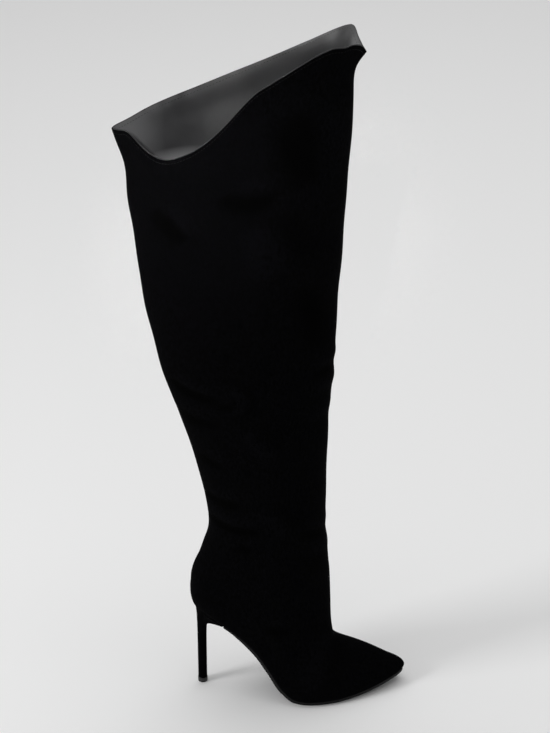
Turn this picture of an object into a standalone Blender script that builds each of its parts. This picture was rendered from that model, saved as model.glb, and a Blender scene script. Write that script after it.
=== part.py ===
"""Thigh-high stiletto boot for the right foot, standing empty on its heel and tread.

Metres, +Z up, +X towards the toe. The inner side of the foot is +Y and the outer side -Y.
The origin is on the floor, at the centre of the heel's top lift.
"""

import math

import bpy
import numpy as np

# Driving sizes of the last, the shaft and the materials.
FOOT_LENGTH = 0.2204
HEEL_SETBACK = 0.0103
HEEL_HEIGHT = 0.0985
TOE_SPRING = 0.0105
BALL_WIDTH = 0.086
HEEL_WIDTH = 0.060
ANKLE_HEIGHT = 0.194
ANKLE_LENGTH = 0.117
ANKLE_WIDTH = 0.078
ANKLE_SETBACK = 0.084
COLLAR_FRONT_HEIGHT = 0.698
COLLAR_BACK_HEIGHT = 0.603
COLLAR_FRONT_REACH = 0.030
COLLAR_REAR_REACH = 0.081
COLLAR_WIDTH = 0.104
COLLAR_FOLD_DEPTH = 0.150
SHAFT_MIDDLE = 0.5
WALL = 0.002
SOLE_THICKNESS = 0.0035
SOLE_SKIVED_THICKNESS = 0.0024
SOLE_SKIVE_LENGTH = 0.030
SOLE_EDGE_BEVEL = 0.0008
INSOLE_THICKNESS = 0.0018
BREAST_PLACE = 0.0227
STEM_LENGTH = 0.0092
STEM_WIDTH = 0.0092
TOP_LIFT_HEIGHT = 0.0052
TOP_LIFT_MARGIN = 0.0003
SWING = 0.0045
GAP = 0.0003

# How square the corners of the heel's breast are: 2 is an ellipse, and a high number a square.
SEAT_SQUARENESS = 14

# How finely the curved walls are cut into facets.
AROUND = 54
FACET_HEIGHT = 0.024
HEEL_AROUND = 36
SHARP_ANGLE = 50.0
TURN_STEP = 0.001
SLOPE_STEP = 0.0005

SOLE_TOP = SOLE_THICKNESS + GAP
FLOOR = 0.0

# The feather line, where the upper meets the sole, seen from the side.
# Columns: place along the foot, share of the heel's rise, share of the toe spring.
FEATHER_PROFILE = (
    (0.00, 1.000, 0.00),
    (0.05, 0.982, 0.00),
    (0.10, 0.928, 0.00),
    (0.15, 0.836, 0.00),
    (0.20, 0.746, 0.00),
    (0.30, 0.520, 0.00),
    (0.36, 0.318, 0.00),
    (0.42, 0.106, 0.00),
    (0.48, 0.008, 0.00),
    (0.52, 0.000, 0.00),
    (0.56, 0.000, 0.00),
    (0.67, 0.000, 0.00),
    (0.77, 0.000, 0.14),
    (0.88, 0.000, 0.50),
    (1.00, 0.000, 1.00),
)

# How far the foot's middle line bows outwards (-) or inwards (+). Columns: place, share of SWING.
MIDDLE_LINE = (
    (0.00, 0.00),
    (0.14, 0.00),
    (0.32, -1.00),
    (0.55, -1.40),
    (0.78, -0.25),
    (1.00, 1.00),
)

# Rings of the foot, from the feather edge up to the ankle.
# front and back: places along FOOT_LENGTH. rise: share of the height up to the ankle, at that end.
# ball, heel and ankle: shares of those widths. waist: how far the arch is drawn in, of the ball's width.
# widest and cap: where the ring is widest and where its round back ends. point: how pointed its front is.
# follow: how closely the ring keeps to the sole's curve.
FOOT_RINGS = (
    # front  rise   back   rise   ball   heel   ankle  waist  widest cap    point  follow
    (0.9940, 0.000, 0.018, 0.000, 0.905, 0.790, 0.000, 0.130, 0.545, 0.115, 0.400, 1.00),
    (0.9995, 0.011, 0.009, 0.022, 0.965, 0.875, 0.000, 0.105, 0.545, 0.125, 0.400, 1.00),
    (1.0000, 0.023, 0.002, 0.068, 1.000, 0.945, 0.000, 0.085, 0.545, 0.135, 0.400, 1.00),
    (0.9860, 0.049, -0.002, 0.120, 1.000, 0.980, 0.000, 0.070, 0.550, 0.145, 0.390, 1.00),
    (0.9360, 0.096, -0.003, 0.178, 0.965, 1.000, 0.000, 0.055, 0.575, 0.155, 0.380, 1.00),
    (0.8340, 0.185, -0.002, 0.241, 0.893, 1.000, 0.000, 0.040, 0.617, 0.180, 0.300, 1.00),
    (0.7180, 0.255, 0.001, 0.309, 0.845, 0.993, 0.000, 0.024, 0.650, 0.215, 0.180, 0.98),
    (0.6690, 0.296, 0.004, 0.377, 0.800, 0.950, 0.035, 0.012, 0.630, 0.245, 0.060, 0.90),
    (0.6560, 0.342, 0.011, 0.445, 0.630, 0.720, 0.220, 0.005, 0.605, 0.275, 0.020, 0.75),
    (0.6500, 0.400, 0.022, 0.518, 0.440, 0.470, 0.430, 0.000, 0.580, 0.310, 0.010, 0.56),
    (0.6460, 0.505, 0.041, 0.623, 0.260, 0.230, 0.640, 0.000, 0.555, 0.355, 0.010, 0.34),
    (0.6420, 0.636, 0.058, 0.749, 0.120, 0.080, 0.820, 0.000, 0.530, 0.410, 0.020, 0.15),
    (0.6330, 0.794, 0.073, 0.864, 0.040, 0.020, 0.940, 0.000, 0.512, 0.460, 0.030, 0.05),
)

# Rings of the shaft, from the ankle up to the collar.
# reach: shares of COLLAR_FRONT_REACH and COLLAR_REAR_REACH. rise: shares of the height from ankle to collar.
# width: from the ankle's (0) to the collar's (1). point and pinch: how sharp the front and back folds are.
SHAFT_RINGS = (
    # front  rise   back   rise   width  point  pinch
    (0.000, 0.000, 0.000, 0.000, 0.000, 0.040, 0.040),
    (0.000, 0.063, 0.031, 0.068, 0.000, 0.050, 0.070),
    (0.000, 0.127, 0.099, 0.137, 0.040, 0.060, 0.100),
    (0.033, 0.194, 0.198, 0.215, 0.150, 0.070, 0.120),
    (0.083, 0.266, 0.321, 0.296, 0.270, 0.080, 0.140),
    (0.183, 0.333, 0.457, 0.374, 0.420, 0.090, 0.150),
    (0.233, 0.403, 0.568, 0.452, 0.580, 0.100, 0.160),
    (0.283, 0.472, 0.642, 0.531, 0.700, 0.100, 0.170),
    (0.350, 0.544, 0.710, 0.609, 0.810, 0.100, 0.180),
    (0.433, 0.619, 0.759, 0.685, 0.890, 0.100, 0.190),
    (0.500, 0.700, 0.809, 0.763, 0.950, 0.100, 0.210),
    (0.583, 0.786, 0.846, 0.836, 0.980, 0.110, 0.240),
    (0.633, 0.861, 0.852, 0.890, 0.990, 0.120, 0.280),
    (0.667, 0.925, 0.889, 0.932, 0.990, 0.130, 0.320),
    (0.717, 0.972, 0.951, 0.968, 0.995, 0.140, 0.360),
    (1.000, 1.000, 1.000, 1.000, 1.000, 0.150, 0.400),
)

# Soft waves of the slack collar. Angles are in degrees round the ring from its front, + on the inner side.
# drop: down (+) or up (-), and flare: outwards, as shares of COLLAR_FOLD_DEPTH.
COLLAR_WAVES = (
    # angle  spread  drop   flare
    (0.0, 30.0, 0.140, 0.000),
    (28.0, 18.0, -0.025, 0.000),
    (88.0, 56.0, 0.045, 0.000),
    (180.0, 34.0, -0.017, 0.000),
    (-117.0, 38.0, 0.247, 0.030),
    (-92.0, 24.0, 0.033, 0.000),
    (-54.0, 22.0, -0.023, 0.000),
    (-28.0, 16.0, 0.033, 0.000),
)

# The covered heel, from its seat down to the top lift.
# down: share of the way. front, side and back: how far that face has drawn in to the slim stem.
HEEL_RINGS = (
    # down  front  side   back
    (0.000, 0.000, 0.000, 0.000),
    (0.029, 0.010, 0.040, 0.080),
    (0.037, 0.340, 0.260, 0.150),
    (0.048, 0.620, 0.440, 0.240),
    (0.066, 0.790, 0.580, 0.370),
    (0.096, 0.890, 0.700, 0.540),
    (0.145, 0.945, 0.800, 0.720),
    (0.215, 0.972, 0.870, 0.850),
    (0.310, 0.986, 0.925, 0.945),
    (0.440, 0.992, 0.960, 0.985),
    (0.640, 0.997, 0.985, 1.000),
    (1.000, 1.000, 1.000, 1.000),
)


def curve_through(places, values, at):
    """Smooth curve through table rows that keeps flat stretches flat and never overshoots."""
    places = np.asarray(places, float)
    values = np.asarray(values, float)
    width = np.diff(places)
    slope = np.diff(values) / width
    tangent = np.zeros_like(values)
    tangent[0], tangent[-1] = slope[0], slope[-1]
    for i in range(1, len(values) - 1):
        if slope[i - 1] * slope[i] > 0:
            before = 2 * width[i] + width[i - 1]
            after = width[i] + 2 * width[i - 1]
            tangent[i] = (before + after) / (before / slope[i - 1] + after / slope[i])
    at = np.clip(at, places[0], places[-1])
    i = np.clip(np.searchsorted(places, at, side="right") - 1, 0, len(width) - 1)
    t = (at - places[i]) / width[i]
    return (
        values[i] * (1 + 2 * t) * (1 - t) ** 2
        + tangent[i] * width[i] * t * (1 - t) ** 2
        + values[i + 1] * t**2 * (3 - 2 * t)
        + tangent[i + 1] * width[i] * t**2 * (t - 1)
    )


def natural_spline(places, rows, at):
    """Natural cubic spline through whole table rows, read at several places."""
    places = np.asarray(places, float)
    rows = np.asarray(rows, float)
    width = np.diff(places)[:, None]
    count = len(places)
    system = np.eye(count)
    right = np.zeros_like(rows)
    slope = np.diff(rows, axis=0) / width
    for i in range(1, count - 1):
        system[i, i - 1 : i + 2] = (
            width[i - 1, 0],
            2 * (width[i - 1, 0] + width[i, 0]),
            width[i, 0],
        )
        right[i] = 6 * (slope[i] - slope[i - 1])
    bend = np.linalg.solve(system, right)
    i = np.clip(np.searchsorted(places, at, side="right") - 1, 0, count - 2)
    after = (np.asarray(at, float) - places[i])[:, None]
    before = width[i] - after
    return (
        bend[i] * before**3 / (6 * width[i])
        + bend[i + 1] * after**3 / (6 * width[i])
        + (rows[i] / width[i] - bend[i] * width[i] / 6) * before
        + (rows[i + 1] / width[i] - bend[i + 1] * width[i] / 6) * after
    )


def foot_x(place):
    """World X of a place along the foot, 0 at the heel's back and 1 at the toe's tip."""
    return place * FOOT_LENGTH - HEEL_SETBACK


def feather_height(x):
    """Height of the feather line, the underside of the upper, at a world X."""
    place = (np.asarray(x, float) + HEEL_SETBACK) / FOOT_LENGTH
    table = np.array(FEATHER_PROFILE)
    heel = curve_through(table[:, 0], table[:, 1], place)
    toe = curve_through(table[:, 0], table[:, 2], place)
    return SOLE_TOP + heel * (HEEL_HEIGHT - SOLE_TOP) + toe * TOE_SPRING


def middle_line(x):
    """Sideways place of the foot's middle line at a world X."""
    place = (np.asarray(x, float) + HEEL_SETBACK) / FOOT_LENGTH
    table = np.array(MIDDLE_LINE)
    return SWING * curve_through(table[:, 0], table[:, 1], place)


def all_rings():
    """Every ring in metres: front x and z, back x and z, ball and heel half-widths, waist, widest,
    cap, point, pinch and follow."""
    rows = []
    for front, front_rise, back, back_rise, ball, heel, ankle, waist, *shape in FOOT_RINGS:
        widest, cap, point, follow = shape
        front_x, back_x = foot_x(front), foot_x(back)
        front_z = feather_height(front_x) + front_rise * (ANKLE_HEIGHT - SOLE_TOP)
        back_z = feather_height(back_x) + back_rise * (ANKLE_HEIGHT - HEEL_HEIGHT)
        ball_half = (ball * BALL_WIDTH + ankle * ANKLE_WIDTH) / 2
        heel_half = (heel * HEEL_WIDTH + ankle * ANKLE_WIDTH) / 2
        waist_cut = waist * BALL_WIDTH / 2
        ends = (front_x, front_z, back_x, back_z)
        rows.append((*ends, ball_half, heel_half, waist_cut, widest, cap, point, 0.0, follow))
    ankle_front = FOOT_LENGTH - HEEL_SETBACK - ANKLE_SETBACK
    ankle_back = ankle_front - ANKLE_LENGTH
    for front, front_rise, back, back_rise, width, point, pinch in SHAFT_RINGS:
        front_x = ankle_front + front * COLLAR_FRONT_REACH
        back_x = ankle_back - back * COLLAR_REAR_REACH
        front_z = ANKLE_HEIGHT + front_rise * (COLLAR_FRONT_HEIGHT - ANKLE_HEIGHT)
        back_z = ANKLE_HEIGHT + back_rise * (COLLAR_BACK_HEIGHT - ANKLE_HEIGHT)
        half = (ANKLE_WIDTH + width * (COLLAR_WIDTH - ANKLE_WIDTH)) / 2
        ends = (front_x, front_z, back_x, back_z)
        rows.append((*ends, half, half, 0.0, SHAFT_MIDDLE, SHAFT_MIDDLE, point, pinch, 0.0))
    return np.array(rows)


def ring_places(rings):
    """Distance of each ring from the feather edge, as the mean of the way along its front and back."""
    front = np.hypot(np.diff(rings[:, 0]), np.diff(rings[:, 1]))
    back = np.hypot(np.diff(rings[:, 2]), np.diff(rings[:, 3]))
    return np.concatenate([[0.0], np.cumsum((front + back) / 2)])


def half_width(ring, along):
    """Half-width of a ring at shares of its length, 0 at its back and 1 at its front."""
    ball, heel, waist, widest, cap, point, pinch = ring[4:11]
    middle = np.clip((along - cap) / max(widest - cap, 1e-6), 0, 1)
    half = heel + (ball - heel) * middle**2 * (3 - 2 * middle)
    half = half - waist * np.sin(math.pi * middle) ** 2
    behind = np.clip(1 - along / cap, 0, 1)
    ahead = np.clip((along - widest) / (1 - widest), 0, 1)
    half = half * np.sqrt(1 - behind**2) * (1 - pinch * behind**2)
    return half * np.sqrt(1 - ahead**2) * (1 - point * ahead**2)


def ring_points(ring, angles):
    """The ring's points at angles round it, from its front over the inner side to its back."""
    front_x, front_z, back_x, back_z = ring[:4]
    follow = ring[11]
    along = (1 + np.cos(angles)) / 2
    x = back_x + (front_x - back_x) * along
    chord = feather_height(front_x) * along + feather_height(back_x) * (1 - along)
    z = front_z * along + back_z * (1 - along) + follow * (feather_height(x) - chord)
    y = follow * middle_line(x) + np.sign(np.sin(angles)) * half_width(ring, along)
    y[np.isclose(np.sin(angles), 0)] = follow * middle_line(x)[np.isclose(np.sin(angles), 0)]
    return np.stack([x, y, z], axis=1)


def wave_collar(points, angles, below_rim):
    """Moves a ring's points by the collar's waves, which die away down the shaft."""
    fade = np.clip(1 - below_rim / COLLAR_FOLD_DEPTH, 0, 1)
    fade = fade**2 * (3 - 2 * fade)
    outwards = points[:, :2] - points[:, :2].mean(axis=0)
    outwards /= np.linalg.norm(outwards, axis=1)[:, None]
    for angle, spread, drop, flare in COLLAR_WAVES:
        away = (np.degrees(angles) - angle + 180) % 360 - 180
        wave = np.clip(1 - (away / spread) ** 2, 0, 1) ** 2 * fade * COLLAR_FOLD_DEPTH
        points[:, 2] -= drop * wave
        points[:, :2] += flare * wave[:, None] * outwards
    return points


def surface_normals(grid):
    """Outward normals of a grid of rings, by central differences."""
    around = np.roll(grid, -1, axis=1) - np.roll(grid, 1, axis=1)
    upwards = np.gradient(grid, axis=0)
    normals = np.cross(around, upwards)
    return normals / np.linalg.norm(normals, axis=2)[:, :, None]


def upper_walls():
    """Outer and inner grids of the upper, as rings from the feather edge to the collar."""
    rings = all_rings()
    places = ring_places(rings)
    levels = [0.0]
    for start, end in zip(places[:-1], places[1:]):
        cuts = max(1, math.ceil((end - start) / FACET_HEIGHT))
        levels.extend(start + (end - start) * (k + 1) / cuts for k in range(cuts))
    rings = natural_spline(places, rings, np.array(levels))
    angles = 2 * math.pi * np.arange(AROUND) / AROUND
    outer = np.array(
        [
            wave_collar(ring_points(ring, angles), angles, places[-1] - level)
            for ring, level in zip(rings, levels)
        ]
    )
    inner = outer - WALL * surface_normals(outer)
    inner[0, :, :2] = inset_in_plan(outer[0, :, :2], WALL)
    inner[0, :, 2] = feather_height(inner[0, :, 0])
    return outer, inner


def inset_in_plan(outline, distance):
    """A closed outline, seen from above, moved inwards along its own normals."""
    along = np.roll(outline, -1, axis=0) - np.roll(outline, 1, axis=0)
    normals = np.stack([along[:, 1], -along[:, 0]], axis=1)
    normals /= np.linalg.norm(normals, axis=1)[:, None]
    return outline - distance * normals


def new_piece(name, points, faces, colour, roughness):
    """A smooth-shaded mesh object with its own material."""
    mesh = bpy.data.meshes.new(name)
    mesh.from_pydata([tuple(p) for p in points], [], faces)
    mesh.validate()
    mesh.shade_smooth()
    mesh.set_sharp_from_angle(angle=math.radians(SHARP_ANGLE))
    material = bpy.data.materials.new(name + "_finish")
    material.use_nodes = True
    shader = material.node_tree.nodes["Principled BSDF"]
    shader.inputs["Base Color"].default_value = (*colour, 1.0)
    shader.inputs["Roughness"].default_value = roughness
    shader.inputs["Metallic"].default_value = 0.0
    mesh.materials.append(material)
    piece = bpy.data.objects.new(name, mesh)
    bpy.context.scene.collection.objects.link(piece)
    return piece


def band(first, second, count):
    """Quads between two closed rings of vertex indices that start at first and second."""
    return [
        (first + i, first + (i + 1) % count, second + (i + 1) % count, second + i)
        for i in range(count)
    ]


def make_upper():
    """Vamp and shaft in one hollow wall, open at the collar and underneath."""
    outer, inner = upper_walls()
    levels = len(outer)
    points = np.concatenate([outer.reshape(-1, 3), inner.reshape(-1, 3)])
    inside = levels * AROUND
    faces = []
    for k in range(levels - 1):
        low, high = k * AROUND, (k + 1) * AROUND
        faces += band(low, high, AROUND)
        faces += [face[::-1] for face in band(inside + low, inside + high, AROUND)]
    rim = (levels - 1) * AROUND
    faces += band(rim, inside + rim, AROUND)
    faces += band(inside, 0, AROUND)
    return new_piece("upper", points, faces, (0.012, 0.012, 0.013), 0.95)


def ladder(places_x, layers):
    """A closed flat piece cut across by rungs. Each layer gives (half-width, middle, height) at every X,
    from the top layer to the bottom one, and a last rung of no width closes the toe in a point."""
    points, faces = [], []
    count = len(places_x)
    for half, middle, height in layers:
        for side in (1, -1):
            points += [
                (x, m + side * h, z)
                for x, h, m, z in zip(places_x, half, middle, height)
            ]
    rows = len(layers)
    for k in range(count - 1):
        faces.append((k, count + k, count + k + 1, k + 1))
        base = 2 * count * (rows - 1)
        faces.append((base + k, base + k + 1, base + count + k + 1, base + count + k))
        for layer in range(rows - 1):
            top, low = 2 * count * layer, 2 * count * (layer + 1)
            faces.append((top + k, top + k + 1, low + k + 1, low + k))
            faces.append((top + count + k, low + count + k, low + count + k + 1, top + count + k + 1))
    for end, turn in ((0, 1), (count - 1, -1)):
        for layer in range(rows - 1):
            top, low = 2 * count * layer, 2 * count * (layer + 1)
            faces.append((top + end, low + end, low + count + end, top + count + end)[::turn])
    return points, faces


def feather_outline(turn, inset):
    """World X and half-width of the feather edge, drawn in by inset along its own normals.
    turn is an angle: 0 at the toe's tip, pi at the heel's back."""
    ring = all_rings()[0]

    def edge(angle):
        along = (1 + np.cos(angle)) / 2
        return ring[2] + (ring[0] - ring[2]) * along, half_width(ring, along)

    x, half = edge(turn)
    x_before, half_before = edge(np.maximum(turn - TURN_STEP, 0.0))
    x_after, half_after = edge(np.minimum(turn + TURN_STEP, math.pi))
    run, rise = x_after - x_before, half_after - half_before
    length = np.hypot(run, rise)
    x = x - inset * rise / length
    half = half + inset * run / length
    toe, heel = np.isclose(turn, 0), np.isclose(turn, math.pi)
    x = np.where(toe, ring[0] - inset, np.where(heel, ring[2] + inset, x))
    return x, np.where(toe | heel, 0.0, half)


def half_turn():
    """The angles of one side of the upper's rings, from the heel's back to the toe's tip."""
    return 2 * math.pi * np.arange(AROUND // 2, -1, -1) / AROUND


def slope_at(x):
    """Slope of the feather line at a world X."""
    return (feather_height(x + SLOPE_STEP) - feather_height(x - SLOPE_STEP)) / (2 * SLOPE_STEP)


def sole_thickness(x):
    """Thickness of the sole at a world X. It is skived thinner where it runs on to the heel's breast."""
    ahead = np.clip((x - BREAST_PLACE) / SOLE_SKIVE_LENGTH, 0, 1)
    full = ahead**2 * (3 - 2 * ahead)
    return SOLE_SKIVED_THICKNESS + full * (SOLE_THICKNESS - SOLE_SKIVED_THICKNESS)


def make_outsole():
    """Thin leather outsole from the heel's breast to the toe, flat where it treads. Its tread edge is
    bevelled, but never past half of what is left of its width at the toe."""
    ring = all_rings()[0]
    share = (BREAST_PLACE + GAP - ring[2]) / (ring[0] - ring[2])
    breast = math.acos(2 * share - 1)
    half_facet = math.pi / AROUND
    turn = np.array([breast] + [t for t in half_turn() if t < breast - half_facet])
    x, half = feather_outline(turn, 0.0)
    top = feather_height(x) - GAP
    vertical = sole_thickness(x) * np.hypot(1, slope_at(x))
    edge_top = np.maximum(top - vertical + SOLE_EDGE_BEVEL, FLOOR)
    tread = np.maximum(top - vertical, FLOOR)
    bevelled = np.maximum(half - SOLE_EDGE_BEVEL, half / 2)
    middle = middle_line(x)
    layers = [(half, middle, top), (half, middle, edge_top), (bevelled, middle, tread)]
    points, faces = ladder(x, layers)
    return new_piece("outsole", points, faces, (0.010, 0.010, 0.011), 0.45)


def make_insole():
    """Insole that lies on the sole, inside the upper's wall."""
    x, half = feather_outline(half_turn(), WALL + GAP)
    floor_z = feather_height(x) + GAP
    top = floor_z + INSOLE_THICKNESS * np.hypot(1, slope_at(x))
    layers = [(half, middle_line(x), top), (half, middle_line(x), floor_z)]
    points, faces = ladder(x, layers)
    return new_piece("insole", points, faces, (0.030, 0.029, 0.028), 0.6)


def seat_outline(angles):
    """The heel's seat seen from above: the upper's own round back and a straight breast."""
    ring = all_rings()[0]
    back = ring[2]
    centre = (back + BREAST_PLACE) / 2
    reach = BREAST_PLACE - centre
    sides = np.abs(np.cos(angles)) ** SEAT_SQUARENESS + np.abs(np.sin(angles)) ** SEAT_SQUARENESS
    squared = sides ** (-1 / SEAT_SQUARENESS)
    x = centre + reach * np.where(np.cos(angles) > 0, squared, 1.0) * np.cos(angles)
    share = (x - back) / (ring[0] - back)
    most = half_width(ring, share)
    side = np.where(np.cos(angles) > 0, np.abs(np.sin(angles)) * squared, 1.0)
    return x, middle_line(x) + np.sign(np.sin(angles)) * most * side


def make_heel():
    """Covered stiletto heel: a cup under the seat that draws in to a slim stem."""
    angles = 2 * math.pi * (np.arange(HEEL_AROUND) + 0.5) / HEEL_AROUND
    seat_x, seat_y = seat_outline(angles)
    seat_z = feather_height(seat_x) - GAP
    stem_x = STEM_LENGTH / 2 * np.cos(angles)
    stem_y = STEM_WIDTH / 2 * np.sin(angles)
    stem_z = TOP_LIFT_HEIGHT + GAP
    points, faces = [], []
    for down, front, side, back in HEEL_RINGS:
        drawn = np.where(np.cos(angles) > 0, front, back)
        x = seat_x + drawn * (stem_x - seat_x)
        y = seat_y + side * (stem_y - seat_y)
        z = seat_z + down * (stem_z - seat_z)
        points += list(zip(x, y, z))
    for k in range(len(HEEL_RINGS) - 1):
        faces += [face[::-1] for face in band(k * HEEL_AROUND, (k + 1) * HEEL_AROUND, HEEL_AROUND)]
    faces += cap_faces(0, HEEL_AROUND, upwards=True)
    faces += cap_faces((len(HEEL_RINGS) - 1) * HEEL_AROUND, HEEL_AROUND, upwards=False)
    return new_piece("heel", points, faces, (0.012, 0.012, 0.013), 0.95)


def cap_faces(first, count, upwards):
    """Strips across a ring that is alike on both sides, so that a curved seat stays true."""
    faces = []
    for i in range(count // 2 - 1):
        a, b = first + i, first + i + 1
        c, d = first + count - 2 - i, first + count - 1 - i
        faces.append((a, b, c, d) if upwards else (d, c, b, a))
    return faces


def make_top_lift():
    """Small rubber top lift that the heel stands on."""
    angles = 2 * math.pi * (np.arange(HEEL_AROUND) + 0.5) / HEEL_AROUND
    points, faces = [], []
    bevel = 2 * TOP_LIFT_MARGIN
    for height, grow in (
        (TOP_LIFT_HEIGHT, TOP_LIFT_MARGIN),
        (bevel, TOP_LIFT_MARGIN),
        (FLOOR, TOP_LIFT_MARGIN - bevel),
    ):
        x = (STEM_LENGTH / 2 + grow) * np.cos(angles)
        y = (STEM_WIDTH / 2 + grow) * np.sin(angles)
        points += [(a, b, height) for a, b in zip(x, y)]
    for k in range(2):
        faces += [face[::-1] for face in band(k * HEEL_AROUND, (k + 1) * HEEL_AROUND, HEEL_AROUND)]
    faces.append(tuple(range(HEEL_AROUND)))
    faces.append(tuple(range(3 * HEEL_AROUND - 1, 2 * HEEL_AROUND - 1, -1)))
    return new_piece("top_lift", points, faces, (0.020, 0.020, 0.021), 0.7)


def main():
    for old in list(bpy.data.objects):
        bpy.data.objects.remove(old)
    make_upper()
    make_outsole()
    make_insole()
    make_heel()
    make_top_lift()


main()
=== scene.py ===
"""Looks of the right thigh-high stiletto boot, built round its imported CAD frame.

Metres, +Z up, +X towards the toe, +Y to the inner side of the foot.
"""

import math

import bmesh
import bpy
import numpy as np
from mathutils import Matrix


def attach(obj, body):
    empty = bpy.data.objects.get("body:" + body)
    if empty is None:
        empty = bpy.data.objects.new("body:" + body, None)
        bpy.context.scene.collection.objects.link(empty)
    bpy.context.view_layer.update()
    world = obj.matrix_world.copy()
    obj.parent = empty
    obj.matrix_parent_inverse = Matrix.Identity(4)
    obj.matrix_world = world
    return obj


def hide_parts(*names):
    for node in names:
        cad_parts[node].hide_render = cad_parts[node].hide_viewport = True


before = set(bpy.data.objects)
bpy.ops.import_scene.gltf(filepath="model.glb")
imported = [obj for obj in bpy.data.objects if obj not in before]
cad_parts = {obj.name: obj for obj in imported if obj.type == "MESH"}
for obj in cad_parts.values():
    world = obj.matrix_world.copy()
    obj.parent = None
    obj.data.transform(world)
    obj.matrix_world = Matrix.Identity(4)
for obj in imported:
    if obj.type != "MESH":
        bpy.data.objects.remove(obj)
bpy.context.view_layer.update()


# Suede shaft and vamp.
# One skin of black goat suede, closed with a seam down the back and pulled over the last. Its top edge is
# turned over and its lower edge is lasted under the insole. The slack shaft keeps the folds it fell into.
FOOT_LENGTH = 0.2204
HEEL_SETBACK = 0.0103
HEEL_HEIGHT = 0.0985
TOE_SPRING = 0.0105
BALL_WIDTH = 0.086
HEEL_WIDTH = 0.060
ANKLE_HEIGHT = 0.194
ANKLE_LENGTH = 0.117
ANKLE_WIDTH = 0.078
ANKLE_SETBACK = 0.084
COLLAR_FRONT_HEIGHT = 0.698
COLLAR_BACK_HEIGHT = 0.603
COLLAR_FRONT_REACH = 0.030
COLLAR_REAR_REACH = 0.081
COLLAR_WIDTH = 0.104
COLLAR_FOLD_DEPTH = 0.150
SHAFT_MIDDLE = 0.5
WALL = 0.002
SUEDE_THICKNESS = 0.0010
SOLE_THICKNESS = 0.0035
GAP = 0.0003
SWING = 0.0045
SOLE_TOP = SOLE_THICKNESS + GAP

# Columns: place along the foot, share of the heel's rise, share of the toe spring.
FEATHER_PROFILE = (
    (0.00, 1.000, 0.00),
    (0.05, 0.982, 0.00),
    (0.10, 0.928, 0.00),
    (0.15, 0.836, 0.00),
    (0.20, 0.746, 0.00),
    (0.30, 0.520, 0.00),
    (0.36, 0.318, 0.00),
    (0.42, 0.106, 0.00),
    (0.48, 0.008, 0.00),
    (0.52, 0.000, 0.00),
    (0.56, 0.000, 0.00),
    (0.67, 0.000, 0.00),
    (0.77, 0.000, 0.14),
    (0.88, 0.000, 0.50),
    (1.00, 0.000, 1.00),
)

# Columns: place along the foot, share of SWING, outwards (-) or inwards (+).
MIDDLE_LINE = (
    (0.00, 0.00),
    (0.14, 0.00),
    (0.32, -1.00),
    (0.55, -1.40),
    (0.78, -0.25),
    (1.00, 1.00),
)

# Rings of the foot, from the feather edge to the ankle, in shares of the sizes above.
FOOT_RINGS = (
    # front  rise   back   rise   ball   heel   ankle  waist  widest cap    point  follow
    (0.9940, 0.000, 0.018, 0.000, 0.905, 0.790, 0.000, 0.130, 0.545, 0.115, 0.400, 1.00),
    (0.9995, 0.011, 0.009, 0.022, 0.965, 0.875, 0.000, 0.105, 0.545, 0.125, 0.400, 1.00),
    (1.0000, 0.023, 0.002, 0.068, 1.000, 0.945, 0.000, 0.085, 0.545, 0.135, 0.400, 1.00),
    (0.9860, 0.049, -0.002, 0.120, 1.000, 0.980, 0.000, 0.070, 0.550, 0.145, 0.390, 1.00),
    (0.9360, 0.096, -0.003, 0.178, 0.965, 1.000, 0.000, 0.055, 0.575, 0.155, 0.380, 1.00),
    (0.8340, 0.185, -0.002, 0.241, 0.893, 1.000, 0.000, 0.040, 0.617, 0.180, 0.300, 1.00),
    (0.7180, 0.255, 0.001, 0.309, 0.845, 0.993, 0.000, 0.024, 0.650, 0.215, 0.180, 0.98),
    (0.6690, 0.296, 0.004, 0.377, 0.800, 0.950, 0.035, 0.012, 0.630, 0.245, 0.060, 0.90),
    (0.6560, 0.342, 0.011, 0.445, 0.630, 0.720, 0.220, 0.005, 0.605, 0.275, 0.020, 0.75),
    (0.6500, 0.400, 0.022, 0.518, 0.440, 0.470, 0.430, 0.000, 0.580, 0.310, 0.010, 0.56),
    (0.6460, 0.505, 0.041, 0.623, 0.260, 0.230, 0.640, 0.000, 0.555, 0.355, 0.010, 0.34),
    (0.6420, 0.636, 0.058, 0.749, 0.120, 0.080, 0.820, 0.000, 0.530, 0.410, 0.020, 0.15),
    (0.6330, 0.794, 0.073, 0.864, 0.040, 0.020, 0.940, 0.000, 0.512, 0.460, 0.030, 0.05),
)

# Rings of the shaft, from the ankle to the collar.
SHAFT_RINGS = (
    # front  rise   back   rise   width  point  pinch
    (0.000, 0.000, 0.000, 0.000, 0.000, 0.040, 0.040),
    (0.000, 0.063, 0.031, 0.068, 0.000, 0.050, 0.070),
    (0.000, 0.127, 0.099, 0.137, 0.040, 0.060, 0.100),
    (0.033, 0.194, 0.198, 0.215, 0.150, 0.070, 0.120),
    (0.083, 0.266, 0.321, 0.296, 0.270, 0.080, 0.140),
    (0.183, 0.333, 0.457, 0.374, 0.420, 0.090, 0.150),
    (0.233, 0.403, 0.568, 0.452, 0.580, 0.100, 0.160),
    (0.283, 0.472, 0.642, 0.531, 0.700, 0.100, 0.170),
    (0.350, 0.544, 0.710, 0.609, 0.810, 0.100, 0.180),
    (0.433, 0.619, 0.759, 0.685, 0.890, 0.100, 0.190),
    (0.500, 0.700, 0.809, 0.763, 0.950, 0.100, 0.210),
    (0.583, 0.786, 0.846, 0.836, 0.980, 0.110, 0.240),
    (0.633, 0.861, 0.852, 0.890, 0.990, 0.120, 0.280),
    (0.667, 0.925, 0.889, 0.932, 0.990, 0.130, 0.320),
    (0.717, 0.972, 0.951, 0.968, 0.995, 0.140, 0.360),
    (1.000, 1.000, 1.000, 1.000, 1.000, 0.150, 0.400),
)

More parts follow.
